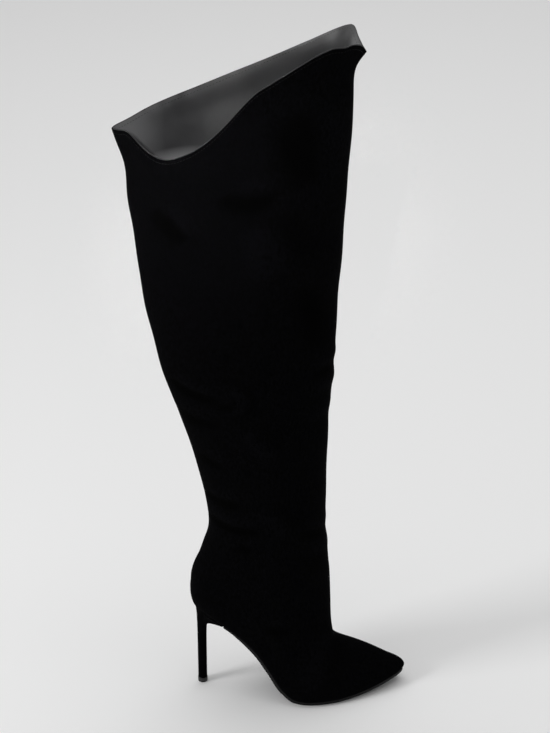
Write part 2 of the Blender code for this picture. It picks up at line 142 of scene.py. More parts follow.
# Soft waves of the collar. Columns: angle from the front, spread, then drop and flare as shares of
# COLLAR_FOLD_DEPTH.
COLLAR_WAVES = (
    (0.0, 30.0, 0.140, 0.000),
    (12.0, 15.0, -0.006, -0.015),
    (37.0, 21.0, -0.015, 0.026),
    (88.0, 56.0, 0.045, 0.000),
    (180.0, 34.0, -0.017, 0.000),
    (-117.0, 38.0, 0.247, 0.030),
    (-92.0, 24.0, 0.033, 0.000),
    (-54.0, 22.0, -0.023, 0.000),
    (-28.0, 16.0, 0.033, 0.000),
)

# The main creases, laid on the shaft and foot, in millimetres. Each is a curve through three points.
# side: -1 outer, 1 inner, 0 both. width: from its middle to where it fades. depth: trough (+) or roll (-).
CREASES = (
    # side width depth  from x  z    over x  z    to x   z
    (-1, 5.0, 1.3, -25, 364, -5, 352, 25, 349),
    (-1, 5.0, -1.0, 20, 368, 46, 351, 26, 332),
    (-1, 5.0, 0.8, 20, 344, 32, 342, 41, 347),
    (-1, 6.5, 0.8, -22, 331, 0, 321, 26, 323),
    (-1, 8.0, -0.8, 46, 318, 62, 298, 76, 284),
    (-1, 5.0, 0.8, 2, 281, 12, 276, 28, 271),
    (-1, 5.0, 1.2, 6, 236, 22, 231, 44, 231),
    (-1, 4.5, -0.7, 18, 220, 28, 212, 40, 206),
    (-1, 5.0, 1.3, 8, 209, 34, 203, 64, 204),
    (-1, 6.0, 0.8, 38, 187, 45, 182, 53, 179),
    (-1, 8.0, -0.9, 60, 226, 75, 213, 90, 196),
    (-1, 5.5, 0.8, 64, 90, 79, 86, 94, 86),
    (-1, 11.0, -0.7, 126, 74, 118, 50, 113, 14),
    (-1, 8.0, 1.5, -34, 538, -21, 525, -6, 511),
    (-1, 8.5, 1.2, 30, 561, 46, 552, 80, 557),
    (-1, 17.0, -1.2, 54, 530, 66, 503, 75, 476),
    (-1, 19.0, 1.1, 92, 636, 99, 600, 104, 560),
    (-1, 14.0, 0.8, 104, 470, 113, 430, 117, 392),
    (0, 6.0, -0.9, 140, 385, 126, 384, 110, 379),
    (0, 6.0, 0.35, 140, 372, 125, 370, 108, 366),
    (0, 6.5, -0.7, 138, 359, 123, 357, 106, 352),
    (0, 7.5, -0.7, 134, 330, 121, 328, 106, 322),
    (0, 6.0, -0.5, 134, 200, 120, 202, 103, 207),
    (0, 5.0, 0.4, 136, 186, 118, 190, 96, 198),
    (0, 6.0, -0.6, 136, 171, 119, 174, 100, 180),
    (0, 7.0, 0.3, 138, 150, 121, 152, 104, 156),
    (1, 5.5, 1.4, -24, 352, 4, 339, 38, 337),
    (1, 5.0, -0.9, 28, 364, 48, 350, 42, 330),
    (1, 6.5, 0.9, -18, 322, 10, 313, 42, 311),
    (1, 5.0, 1.2, 6, 239, 26, 230, 54, 226),
    (1, 5.0, 1.3, 10, 211, 36, 202, 68, 200),
    (1, 8.0, -0.8, 58, 226, 76, 212, 92, 194),
    (1, 17.0, -1.1, 52, 492, 64, 460, 75, 422),
    (1, 9.0, 1.4, 12, 572, 40, 556, 70, 551),
    (1, 9.0, 1.0, -38, 549, -22, 534, -6, 527),
    (1, 13.0, 0.8, 92, 332, 100, 300, 105, 272),
    (1, 10.0, 0.6, 94, 86, 96, 60, 99, 38),
)

# A crease is followed at CREASE_STEPS points, and counts up to CREASE_REACH of its widths off. Above its
# trough stands a roll, whose height, place and width are shares of the crease's own. A crease on one side
# alone fades over SIDE_FADE mm.
CREASE_STEPS = 21
CREASE_REACH = 4
ROLL_HEIGHT = 0.45
ROLL_PLACE = 1.7
ROLL_WIDTH = 1.1
SIDE_FADE = 4.0

# Waves of the slack shaft: their height, the least share of it, where they grow from there, and lengths.
SLACK_HEIGHT = 0.0007
SLACK_LEAST = 0.05
SLACK_FROM = 0.20
SLACK_OVER = 0.25
LONG_UP, LONG_ALONG, CROSS_ALONG = 0.118, 0.33, 0.16
SHORT_UP, SHORT_ALONG = 0.063, 0.21

# Near the feather edge the upper is pulled tight on the last, without waves or creases.
LASTED_BAND = 0.012

AROUND = 210
UPWARDS = 300
HIDDEN_UPWARDS = 150
EDGE_ROUNDS = 5
SHARP_ABOVE = math.radians(60)


def curve_through(places, values, at):
    """Smooth curve through table rows that keeps flat stretches flat and never overshoots."""
    places = np.asarray(places, float)
    values = np.asarray(values, float)
    width = np.diff(places)
    slope = np.diff(values) / width
    tangent = np.zeros_like(values)
    tangent[0], tangent[-1] = slope[0], slope[-1]
    for i in range(1, len(values) - 1):
        if slope[i - 1] * slope[i] > 0:
            before = 2 * width[i] + width[i - 1]
            after = width[i] + 2 * width[i - 1]
            tangent[i] = (before + after) / (before / slope[i - 1] + after / slope[i])
    at = np.clip(at, places[0], places[-1])
    i = np.clip(np.searchsorted(places, at, side="right") - 1, 0, len(width) - 1)
    t = (at - places[i]) / width[i]
    return (
        values[i] * (1 + 2 * t) * (1 - t) ** 2
        + tangent[i] * width[i] * t * (1 - t) ** 2
        + values[i + 1] * t**2 * (3 - 2 * t)
        + tangent[i + 1] * width[i] * t**2 * (t - 1)
    )


def natural_spline(places, rows, at):
    """Natural cubic spline through whole table rows, read at several places."""
    places = np.asarray(places, float)
    rows = np.asarray(rows, float)
    width = np.diff(places)[:, None]
    count = len(places)
    system = np.eye(count)
    right = np.zeros_like(rows)
    slope = np.diff(rows, axis=0) / width
    for i in range(1, count - 1):
        before, after = width[i - 1, 0], width[i, 0]
        system[i, i - 1 : i + 2] = (before, 2 * (before + after), after)
        right[i] = 6 * (slope[i] - slope[i - 1])
    bend = np.linalg.solve(system, right)
    i = np.clip(np.searchsorted(places, at, side="right") - 1, 0, count - 2)
    after = (np.asarray(at, float) - places[i])[:, None]
    before = width[i] - after
    return (
        bend[i] * before**3 / (6 * width[i])
        + bend[i + 1] * after**3 / (6 * width[i])
        + (rows[i] / width[i] - bend[i] * width[i] / 6) * before
        + (rows[i + 1] / width[i] - bend[i + 1] * width[i] / 6) * after
    )


def foot_x(place):
    """World X of a place along the foot, 0 at the heel's back and 1 at the toe's tip."""
    return place * FOOT_LENGTH - HEEL_SETBACK


def foot_place(x):
    """Place along the foot of a world X."""
    return (np.asarray(x, float) + HEEL_SETBACK) / FOOT_LENGTH


def feather_height(x):
    """Height of the feather line, where the upper meets the sole, at a world X."""
    table = np.array(FEATHER_PROFILE)
    heel = curve_through(table[:, 0], table[:, 1], foot_place(x))
    toe = curve_through(table[:, 0], table[:, 2], foot_place(x))
    return SOLE_TOP + heel * (HEEL_HEIGHT - SOLE_TOP) + toe * TOE_SPRING


def middle_line(x):
    """Sideways place of the foot's middle line at a world X."""
    table = np.array(MIDDLE_LINE)
    return SWING * curve_through(table[:, 0], table[:, 1], foot_place(x))


def form_rings():
    """Every ring of foot and shaft in metres."""
    rows = []
    for front, front_rise, back, back_rise, ball, heel, ankle, waist, *rest in FOOT_RINGS:
        front_x, back_x = foot_x(front), foot_x(back)
        front_z = feather_height(front_x) + front_rise * (ANKLE_HEIGHT - SOLE_TOP)
        back_z = feather_height(back_x) + back_rise * (ANKLE_HEIGHT - HEEL_HEIGHT)
        ball_half = (ball * BALL_WIDTH + ankle * ANKLE_WIDTH) / 2
        heel_half = (heel * HEEL_WIDTH + ankle * ANKLE_WIDTH) / 2
        widest, cap, point, follow = rest
        ends = (front_x, front_z, back_x, back_z)
        rows.append((*ends, ball_half, heel_half, waist * BALL_WIDTH / 2, widest, cap, point, 0.0, follow))
    ankle_front = FOOT_LENGTH - HEEL_SETBACK - ANKLE_SETBACK
    ankle_back = ankle_front - ANKLE_LENGTH
    for front, front_rise, back, back_rise, width, point, pinch in SHAFT_RINGS:
        front_x = ankle_front + front * COLLAR_FRONT_REACH
        back_x = ankle_back - back * COLLAR_REAR_REACH
        front_z = ANKLE_HEIGHT + front_rise * (COLLAR_FRONT_HEIGHT - ANKLE_HEIGHT)
        back_z = ANKLE_HEIGHT + back_rise * (COLLAR_BACK_HEIGHT - ANKLE_HEIGHT)
        half = (ANKLE_WIDTH + width * (COLLAR_WIDTH - ANKLE_WIDTH)) / 2
        ends = (front_x, front_z, back_x, back_z)
        rows.append((*ends, half, half, 0.0, SHAFT_MIDDLE, SHAFT_MIDDLE, point, pinch, 0.0))
    return np.array(rows)


def half_width(ring, along):
    """Half-width of a ring at shares of its length, 0 at its back and 1 at its front."""
    ball, heel, waist, widest, cap, point, pinch = ring[4:11]
    middle = np.clip((along - cap) / max(widest - cap, 1e-6), 0, 1)
    half = heel + (ball - heel) * middle**2 * (3 - 2 * middle)
    half = half - waist * np.sin(math.pi * middle) ** 2
    behind = np.clip(1 - along / cap, 0, 1)
    ahead = np.clip((along - widest) / (1 - widest), 0, 1)
    half = half * np.sqrt(1 - behind**2) * (1 - pinch * behind**2)
    return half * np.sqrt(1 - ahead**2) * (1 - point * ahead**2)


def ring_points(ring, angles):
    """A ring's points at angles round it, from its front over the inner side to its back."""
    front_x, front_z, back_x, back_z = ring[:4]
    follow = ring[11]
    along = (1 + np.cos(angles)) / 2
    x = back_x + (front_x - back_x) * along
    chord = feather_height(front_x) * along + feather_height(back_x) * (1 - along)
    z = front_z * along + back_z * (1 - along) + follow * (feather_height(x) - chord)
    side = np.where(np.isclose(np.sin(angles), 0), 0.0, np.sign(np.sin(angles)))
    y = follow * middle_line(x) + side * half_width(ring, along)
    return np.stack([x, y, z], axis=1)


def wave_collar(points, angles, below_rim):
    """Moves a ring's points by the collar's waves, which die away down the shaft."""
    fade = np.clip(1 - below_rim / COLLAR_FOLD_DEPTH, 0, 1)
    fade = fade**2 * (3 - 2 * fade)
    outwards = points[:, :2] - points[:, :2].mean(axis=0)
    outwards /= np.linalg.norm(outwards, axis=1)[:, None]
    for angle, spread, drop, flare in COLLAR_WAVES:
        away = (np.degrees(angles) - angle + 180) % 360 - 180
        wave = np.clip(1 - (away / spread) ** 2, 0, 1) ** 2 * fade * COLLAR_FOLD_DEPTH
        points[:, 2] -= drop * wave
        points[:, :2] += flare * wave[:, None] * outwards
    return points


def surface_normals(grid):
    """Outward normals of a grid of rings."""
    around = np.roll(grid, -1, axis=1) - np.roll(grid, 1, axis=1)
    normals = np.cross(around, np.gradient(grid, axis=0))
    return normals / np.linalg.norm(normals, axis=2)[:, :, None]


def crease_depth(grid):
    """How far every crease together pushes each point of the form inwards, in metres."""
    x, y, z = (grid[:, :, i] * 1000 for i in range(3))
    inwards = np.zeros_like(x)
    share = np.linspace(0, 1, CREASE_STEPS)
    for side, width, depth, x0, z0, x1, z1, x2, z2 in CREASES:
        first, middle, last = (1 - share) * (1 - 2 * share), 4 * share * (1 - share), share * (2 * share - 1)
        line_x = first * x0 + middle * x1 + last * x2
        line_z = first * z0 + middle * z1 + last * z2
        run, rise = np.gradient(line_x), np.gradient(line_z)
        reach = CREASE_REACH * width
        near = (np.abs(z - z1) < abs(z2 - z0) + reach) & (np.abs(x - x1) < abs(x2 - x0) + reach)
        away_x, away_z = x[near, None] - line_x, z[near, None] - line_z
        closest = np.argmin(away_x**2 + away_z**2, axis=1)
        rows = np.arange(len(closest))
        away_x, away_z = away_x[rows, closest], away_z[rows, closest]
        distance = np.hypot(away_x, away_z)
        above = np.sign(away_z * run[closest] - away_x * rise[closest]) * distance
        fading = 1 - np.abs(2 * share[closest] - 1) ** 3
        trough = np.exp(-((distance / width) ** 2))
        roll = ROLL_HEIGHT * np.exp(-(((above - ROLL_PLACE * width) / (ROLL_WIDTH * width)) ** 2))
        on_side = 1.0 if side == 0 else 1 / (1 + np.exp(-side * y[near] / SIDE_FADE))
        inwards[near] += on_side * fading * depth * (trough - roll)
    return inwards / 1000


def slack_waves(grid):
    """Long shallow waves of the slack shaft, outwards, in metres. They die away over the ankle and foot."""
    x, y, z = (grid[:, :, i] for i in range(3))
    slack = np.clip((z - SLACK_FROM) / SLACK_OVER, SLACK_LEAST, 1)
    turn = 2 * math.pi
    waves = np.sin(turn * (z / LONG_UP + x / LONG_ALONG) + 1.1)
    waves *= np.sin(turn * x / CROSS_ALONG + 40 * y + 0.6)
    waves += 0.5 * np.sin(turn * (z / SHORT_UP - x / SHORT_ALONG) + 30 * y + 2.0)
    return SLACK_HEIGHT * slack * waves


def inset_in_plan(outline, distance):
    """A closed outline, seen from above, moved inwards along its own normals."""
    along = np.roll(outline, -1, axis=0) - np.roll(outline, 1, axis=0)
    normals = np.stack([along[:, 1], -along[:, 0]], axis=1)
    normals /= np.linalg.norm(normals, axis=1)[:, None]
    return outline - distance * normals


def form_grid():
    """The outer face of the boot, creases and all, as rings from the feather edge to the collar, and how far
    the creases move each of its points outwards."""
    rings = form_rings()
    front = np.hypot(np.diff(rings[:, 0]), np.diff(rings[:, 1]))
    back = np.hypot(np.diff(rings[:, 2]), np.diff(rings[:, 3]))
    places = np.concatenate([[0.0], np.cumsum((front + back) / 2)])
    levels = np.linspace(0, places[-1], UPWARDS)
    angles = 2 * math.pi * np.arange(AROUND) / AROUND
    grid = np.array(
        [
            wave_collar(ring_points(ring, angles), angles, places[-1] - level)
            for ring, level in zip(natural_spline(places, rings, levels), levels)
        ]
    )
    lasted = np.clip(levels / LASTED_BAND, 0, 1)[:, None, None]
    folds = -crease_depth(grid)
    moved = (slack_waves(grid) + folds)[:, :, None]
    return grid + lasted * moved * surface_normals(grid), folds


def under_skin(depth):
    """The form's grid moved inwards by depth, with its lowest ring kept on the insole's plane."""
    rows = form - depth * form_normals
    if depth > 0:
        rows[0, :, :2] = inset_in_plan(form[0, :, :2], depth)
        rows[0, :, 2] = feather_height(rows[0, :, 0])
    return rows


def rolled_rows(outer, inner, upwards):
    """Rows that round an edge over from its outer ring to its inner ring."""
    middle, half = (outer + inner) / 2, (outer - inner) / 2
    reach = np.linalg.norm(half, axis=1)[:, None]
    turns = math.pi * np.arange(1, EDGE_ROUNDS + 1) / (EDGE_ROUNDS + 1)
    return [middle + half * math.cos(t) + upwards * reach * math.sin(t) for t in turns]


def ring_shell(name, rows, material):
    """A closed skin from rows of rings, each joined to the next and the last one to the first."""
    count, around = len(rows), len(rows[0])
    row, column = np.divmod(np.arange(count * around), around)
    here, above, beside = row * around, (row + 1) % count * around, (column + 1) % around
    faces = np.stack([here + column, here + beside, above + beside, above + column], axis=1)
    return new_piece(name, np.concatenate(rows), faces.tolist(), material)


def new_piece(name, points, faces, material):
    """A smooth-shaded mesh object in the scene."""
    mesh = bpy.data.meshes.new(name)
    mesh.from_pydata(np.asarray(points, float).tolist(), [], faces)
    mesh.validate()
    mesh.shade_smooth()
    mesh.set_sharp_from_angle(angle=SHARP_ABOVE)
    mesh.materials.append(material)
    return placed(name, mesh)


def placed(name, data):
    """A new object in the scene."""
    thing = bpy.data.objects.new(name, data)
    bpy.context.scene.collection.objects.link(thing)
    return thing


def distance_from(start, rows, axis):
    """Each point's distance along the skin from the row (axis 0) or column (axis 1) called start."""
    steps = np.linalg.norm(np.diff(np.stack(rows), axis=axis), axis=2)
    gone = np.insert(np.cumsum(steps, axis=axis), 0, 0.0, axis=axis)
    return np.abs(gone - np.take(gone, [start], axis=axis))


def keep_values(piece, name, values):
    """Stores a value for each point of a piece, under a name that its material reads."""
    kept = piece.data.attributes.new(name, "FLOAT", "POINT")
    kept.data.foreach_set("value", values.ravel().astype(np.float32))


def set_inputs(node, links):
    """Sets a node's inputs. links maps an input's name or number to a value or to another node's output."""
    for key, value in links.items():
        if isinstance(value, bpy.types.NodeSocket):
            node.id_data.links.new(value, node.inputs[key])
        else:
            node.inputs[key].default_value = value


def add_node(tree, kind, links=None, **settings):
    """Adds a node with its settings and inputs."""
    node = tree.nodes.new(kind)
    for key, value in settings.items():
        setattr(node, key, value)
    set_inputs(node, links or {})
    return node


def srgb(code):
    """Linear colour of an sRGB hex code."""
    parts = [int(code[i : i + 2], 16) / 255 for i in (1, 3, 5)]
    return (*[p / 12.92 if p <= 0.04045 else ((p + 0.055) / 1.055) ** 2.4 for p in parts], 1.0)


def new_material(name):
    """A material with its Principled shader, and that material's tree."""
    material = bpy.data.materials.new(name)
    material.use_nodes = True
    return material, material.node_tree, material.node_tree.nodes["Principled BSDF"]


def black_suede(name, folded):
    """Goat suede, split and brushed: a short matte nap that lies one way in some patches and the other way
    in others, so the black is a little lighter there, with no gloss. folded adds painted light and shade on
    the creases, lighter on their rolls and darker in their troughs, and the closed back seam of the upper."""
    material, tree, shader = new_material(name)
    place = add_node(tree, "ShaderNodeTexCoord").outputs["Object"]
    # The brushed patches are about 40 mm across, and the tufts of the nap 1 mm, as coarse as can show.
    patches = add_node(
        tree, "ShaderNodeTexNoise", {"Vector": place, "Scale": 24.0, "Detail": 3.0, "Distortion": 0.8}
    )
    tufts = add_node(
        tree, "ShaderNodeTexNoise", {"Vector": place, "Scale": 950.0, "Detail": 4.0, "Roughness": 0.7}
    )
    stretched = add_node(tree, "ShaderNodeMapping", {"Vector": place, "Scale": (1.0, 1.0, 0.55)})
    strokes = add_node(
        tree, "ShaderNodeTexNoise", {"Vector": stretched.outputs["Vector"], "Scale": 420.0, "Detail": 3.0}
    )
    shade = add_node(
        tree, "ShaderNodeMapRange", {"Value": patches.outputs["Fac"], "From Min": 0.38, "From Max": 0.66}
    )
    nap = add_node(
        tree, "ShaderNodeMath", {0: tufts.outputs["Fac"], 1: strokes.outputs["Fac"]}, operation="MULTIPLY"
    )
    speck = add_node(
        tree, "ShaderNodeMapRange", {"Value": nap.outputs[0], "From Min": 0.12, "From Max": 0.40}
    ).outputs[0]
    if folded:
        # Painted light and shade: the tips of the nap are painted lighter on the rolls of the creases and
        # darker in their troughs.
        stands_out = add_node(tree, "ShaderNodeAttribute", attribute_name="out_of_creases").outputs["Fac"]
        painted_lighting = add_node(
            tree,
            "ShaderNodeMapRange",
            {"Value": stands_out, "From Min": -0.7, "From Max": 0.7, "To Min": 0.1, "To Max": 1.9},
        )
        speck = add_node(
            tree, "ShaderNodeMath", {0: speck, 1: painted_lighting.outputs[0]}, operation="MULTIPLY", use_clamp=True
        ).outputs[0]
    # Black lies over black where the nap is brushed the other way, and its tips are the lightest.
    colour = srgb("#020202")
    for share, over in ((shade.outputs[0], "#030303"), (speck, "#08080a")):
        colour = add_node(
            tree, "ShaderNodeMix", {"Factor": share, 6: colour, 7: srgb(over)}, data_type="RGBA"
        ).outputs[2]
    height = nap.outputs[0]
    if folded:
        # The back seam is a groove 1 mm wide between two edges that stand up a little.
        from_seam = add_node(tree, "ShaderNodeAttribute", attribute_name="from_back_seam").outputs["Fac"]
        groove, edges = (
            add_node(
                tree,
                "ShaderNodeMapRange",
                {"Value": from_seam, "From Min": near, "From Max": far, "To Min": most, "To Max": 0.0},
                interpolation_type="SMOOTHSTEP",
            ).outputs[0]
            for near, far, most in ((0.0, 0.0009, -3.0), (0.0012, 0.0032, 0.9))
        )
        pressed = add_node(tree, "ShaderNodeMath", {0: groove, 1: edges}, operation="ADD")
        height = add_node(
            tree, "ShaderNodeMath", {0: height, 1: pressed.outputs[0]}, operation="ADD"
        ).outputs[0]
    bump = add_node(tree, "ShaderNodeBump", {"Strength": 0.55, "Distance": 0.0004, "Height": height})
    rough = add_node(
        tree, "ShaderNodeMapRange", {"Value": patches.outputs["Fac"], "To Min": 0.86, "To Max": 0.97}
    )
    set_inputs(shader, {"Base Color": colour, "Normal": bump.outputs["Normal"]})
    set_inputs(shader, {"Roughness": rough.outputs[0], "Specular IOR Level": 0.012})
    set_inputs(shader, {"Sheen Weight": 0.010, "Sheen Roughness": 0.3, "Sheen Tint": srgb("#8c8c90")})
    return material


form, folds = form_grid()
form_normals = surface_normals(form)
rim_up = form[-1] - form[-2]
rim_up /= np.linalg.norm(rim_up, axis=1)[:, None]
hidden_rows = np.linspace(UPWARDS - 1, 0, HIDDEN_UPWARDS).round().astype(int)
suede_back = under_skin(SUEDE_THICKNESS)

suede = black_suede("brushed_black_goat_suede", folded=True)
suede_rows = [*form, *rolled_rows(form[-1], suede_back[-1], rim_up), *suede_back[hidden_rows]]
suede_upper = ring_shell("suede_shaft_and_vamp", suede_rows, suede)

# The seam is drawn by each point's distance from it, and the painted light and shade of the creases by
# how far a point stands out of them, in millimetres.
keep_values(suede_upper, "from_back_seam", distance_from(AROUND // 2, suede_rows, axis=1))
hidden = np.zeros((len(suede_rows) - UPWARDS, AROUND))
keep_values(suede_upper, "out_of_creases", 1000 * np.vstack([folds, hidden]))

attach(suede_upper, "root")
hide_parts("upper")


# Leather lining.
# Smooth dark grey lining leather that covers the shaft's inside. Its top edge is turned, inked black and
# stands a little above the suede's, and one row of stitches holds both.
LINING_THICKNESS = 0.0009
LINING_RISE = 0.0007


def lining_leather():
    """Glazed lining leather: fine pores, a soft gloss and faint clouds, with painted highlights at the back,
    in one low patch and in a band under the edge.
    """
    material, tree, shader = new_material("glazed_grey_lining_leather")
    place = add_node(tree, "ShaderNodeTexCoord").outputs["Object"]
    # The clouds are 45 mm across, and the pores stand 0.9 mm apart.
    clouds = add_node(tree, "ShaderNodeTexNoise", {"Vector": place, "Scale": 22.0, "Detail": 3.0})
    cloudy = add_node(
        tree, "ShaderNodeMapRange", {"Value": clouds.outputs["Fac"], "From Min": 0.32, "From Max": 0.68}
    )
    pores = add_node(tree, "ShaderNodeTexVoronoi", {"Vector": place, "Scale": 1100.0}, feature="F1")
    rubs = add_node(tree, "ShaderNodeTexNoise", {"Vector": place, "Scale": 120.0, "Detail": 5.0})
    # Painted highlights: the lining is painted lighter towards the back and in one patch 80 mm below the
    # inner side's edge.
    backwards = add_node(tree, "ShaderNodeSeparateXYZ", {0: place}).outputs["X"]
    painted_highlight_at_back = add_node(
        tree,
        "ShaderNodeMapRange",
        {"Value": backwards, "From Min": -0.026, "From Max": -0.070, "To Min": 0.0, "To Max": 0.6},
    )
    centred = add_node(
        tree,
        "ShaderNodeMapping",
        {"Vector": place, "Location": (-0.016, 0.036, 0.559), "Scale": (0.052, 0.052, 0.017)},
        vector_type="TEXTURE",
    )
    painted_highlight_spot = add_node(
        tree, "ShaderNodeTexGradient", {"Vector": centred.outputs["Vector"]}, gradient_type="SPHERICAL"
    )
    painted_highlights = add_node(
        tree,
        "ShaderNodeMath",
        {0: painted_highlight_spot.outputs["Fac"], 1: painted_highlight_at_back.outputs[0]},
        operation="ADD",
        use_clamp=True,
    )
    # Painted sheen: a band under the turned edge is painted lighter, broken up by the noise of the rubs.
    from_edge = add_node(tree, "ShaderNodeAttribute", attribute_name="from_turned_edge").outputs["Fac"]
    painted_sheen_band = add_node(
        tree,
        "ShaderNodeMapRange",
        {"Value": from_edge, "From Min": 0.0004, "From Max": 0.0140, "To Min": 1.0, "To Max": 0.0},
        interpolation_type="SMOOTHERSTEP",
    )
    painted_lighting = add_node(
        tree, "ShaderNodeMath", {0: painted_sheen_band.outputs[0], 1: rubs.outputs["Fac"]}, operation="MULTIPLY"
    )
    # The edge itself is inked black.
    ink = add_node(
        tree,
        "ShaderNodeMapRange",
        {"Value": from_edge, "From Min": 0.0006, "From Max": 0.0011, "To Min": 1.0, "To Max": 0.0},
    )
    # The clouds and the ink are the leather's own; the two lighter mixes are painted highlight and painted
    # sheen.
    colour = srgb("#202021")
    for share, over in ((cloudy, "#2e2e2f"), (painted_highlights, "#727273"), (painted_lighting, "#4c4c4d"), (ink, "#171718")):
        colour = add_node(
            tree, "ShaderNodeMix", {"Factor": share.outputs[0], 6: colour, 7: srgb(over)}, data_type="RGBA"
        ).outputs[2]
    grain = add_node(
        tree, "ShaderNodeMath", {0: pores.outputs["Distance"], 1: rubs.outputs["Fac"]}, operation="ADD"
    )
    bump = add_node(
        tree, "ShaderNodeBump", {"Strength": 0.22, "Distance": 0.00025, "Height": grain.outputs[0]}
    )
    rough = add_node(
        tree, "ShaderNodeMapRange", {"Value": rubs.outputs["Fac"], "To Min": 0.34, "To Max": 0.56}
    )
    set_inputs(shader, {"Base Color": colour, "Normal": bump.outputs["Normal"]})
    set_inputs(shader, {"Roughness": rough.outputs[0]})
    return material


LINING_UPWARDS = 200
LINING_BELLY = 0.0045
LINING_BELLY_DEPTH = 0.092
LINING_BELLY_HALF = 0.026
LINING_WAVE = 0.0005
LINING_WAVES_END = 0.16
LINING_WAVES_FADE = 0.05
LINING_HELD = 0.012

# The lining is cut a little full, so under the collar it bellies inwards on the inner side and lies in soft
# uneven waves all round. The stitches hold it flat along its edge.
below_rim = distance_from(UPWARDS - 1, form, axis=0)
angles = 2 * math.pi * np.arange(AROUND) / AROUND
belly = np.exp(-(((below_rim - LINING_BELLY_DEPTH) / LINING_BELLY_HALF) ** 2))
belly *= np.clip(np.sin(angles), 0, 1)
held = np.clip(below_rim / LINING_HELD, 0, 1)
full_waves = np.sin(9 * angles + 55 * below_rim) * np.sin(120 * below_rim + 2 * np.cos(5 * angles))
full_waves *= held * np.clip((LINING_WAVES_END - below_rim) / LINING_WAVES_FADE, 0, 1)
fullness = ((LINING_BELLY * belly + LINING_WAVE * (full_waves + 1)) * held)[:, :, None]
lining_outer = under_skin(WALL - LINING_THICKNESS)
lining_inner = under_skin(WALL) - fullness * form_normals
for skin in (lining_outer, lining_inner):
    skin[-1] += LINING_RISE * rim_up
shown_rows = np.linspace(UPWARDS - 1, 0, LINING_UPWARDS).round().astype(int)
lining_rows = [
    *lining_outer[hidden_rows[::-1]],
    *rolled_rows(lining_outer[-1], lining_inner[-1], rim_up),
    *lining_inner[shown_rows],
]
lining = ring_shell("leather_lining", lining_rows, lining_leather())

# The painted sheen band is drawn by each point's distance from the top of the turned edge.
top_row = HIDDEN_UPWARDS + EDGE_ROUNDS // 2
keep_values(lining, "from_turned_edge", distance_from(top_row, lining_rows, axis=0))

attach(lining, "root")
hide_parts("upper")


# Collar stitches.
# Bonded black thread in a lockstitch row round the collar, a little under its edge. It holds the turned
# suede and the lining together and shows as short dashes on both faces.
STITCH_PITCH = 0.0032
STITCH_LENGTH = 0.0026
STITCH_RADIUS = 0.00024
STITCH_DROP = 0.0032


def stitch_tree(material):
    """Geometry nodes that lay one stitch at every pitch along a closed line of edges."""
    tree = bpy.data.node_groups.new("lockstitch_row", "GeometryNodeTree")
    tree.interface.new_socket("Geometry", in_out="INPUT", socket_type="NodeSocketGeometry")
    for name in ("Pitch", "Stitch length", "Thread radius"):
        tree.interface.new_socket(name, in_out="INPUT", socket_type="NodeSocketFloat")
    tree.interface.new_socket("Geometry", in_out="OUTPUT", socket_type="NodeSocketGeometry")
    given = add_node(tree, "NodeGroupInput").outputs
    line = add_node(tree, "GeometryNodeMeshToCurve", {"Mesh": given["Geometry"]})
    spaced = add_node(
        tree,
        "GeometryNodeResampleCurve",
        {"Curve": line.outputs["Curve"], "Length": given["Pitch"]},
        mode="LENGTH",
    )
    ball = add_node(tree, "GeometryNodeMeshUVSphere", {"Segments": 8, "Rings": 5, "Radius": 1.0})
    half = add_node(tree, "ShaderNodeMath", {0: given["Stitch length"], 1: 0.5}, operation="MULTIPLY")
    size = add_node(
        tree,
        "ShaderNodeCombineXYZ",
        {0: half.outputs[0], 1: given["Thread radius"], 2: given["Thread radius"]},
    )
    stitch = add_node(
        tree, "GeometryNodeTransform", {"Geometry": ball.outputs["Mesh"], "Scale": size.outputs[0]}
    )
    tangent = add_node(tree, "GeometryNodeInputTangent")
    aim = add_node(tree, "FunctionNodeAlignRotationToVector", {"Vector": tangent.outputs[0]}, axis="X")
    laid = add_node(
        tree,
        "GeometryNodeInstanceOnPoints",
        {"Points": spaced.outputs[0], "Instance": stitch.outputs[0], "Rotation": aim.outputs[0]},
    )
    real = add_node(tree, "GeometryNodeRealizeInstances", {"Geometry": laid.outputs["Instances"]})
    done = add_node(
        tree, "GeometryNodeSetMaterial", {"Geometry": real.outputs["Geometry"], "Material": material}
    )
    add_node(tree, "NodeGroupOutput", {"Geometry": done.outputs["Geometry"]})
    return tree


def stitch_row(name, line, tree, sizes):
    """A plain mesh of the stitches along a closed line of points."""
    count = len(line)
    guide = bpy.data.meshes.new(name + "_line")
    guide.from_pydata(line.tolist(), [(i, (i + 1) % count) for i in range(count)], [])
    holder = placed(name + "_line", guide)
    modifier = holder.modifiers.new("stitches", "NODES")
    modifier.node_group = tree
    for socket in tree.interface.items_tree:
        if socket.in_out == "INPUT" and socket.name in sizes:
            modifier[socket.identifier] = sizes[socket.name]
    graph = bpy.context.evaluated_depsgraph_get()
    mesh = bpy.data.meshes.new_from_object(holder.evaluated_get(graph))
    bpy.data.objects.remove(holder)
    mesh.name = name
    mesh.shade_smooth()
    return placed(name, mesh)


def bonded_thread():
    """Bonded nylon thread, waxed: black, with a dull gloss along its twist."""
    material, tree, shader = new_material("bonded_nylon_thread")
    place = add_node(tree, "ShaderNodeTexCoord").outputs["Object"]
    # The twist turns once in 1.6 mm along a level row.
    twist = add_node(
        tree,
        "ShaderNodeTexWave",
        {"Vector": place, "Scale": 400.0, "Distortion": 1.0},
        bands_direction="DIAGONAL",
    )
    tone = add_node(
        tree,
        "ShaderNodeMix",
        {"Factor": twist.outputs["Fac"], 6: srgb("#060607"), 7: srgb("#101011")},
        data_type="RGBA",
    )
    bump = add_node(
        tree, "ShaderNodeBump", {"Strength": 0.4, "Distance": 0.0001, "Height": twist.outputs["Fac"]}
    )
    set_inputs(shader, {"Base Color": tone.outputs[2], "Normal": bump.outputs["Normal"]})
    set_inputs(shader, {"Roughness": 0.75, "Specular IOR Level": 0.15})
    return material


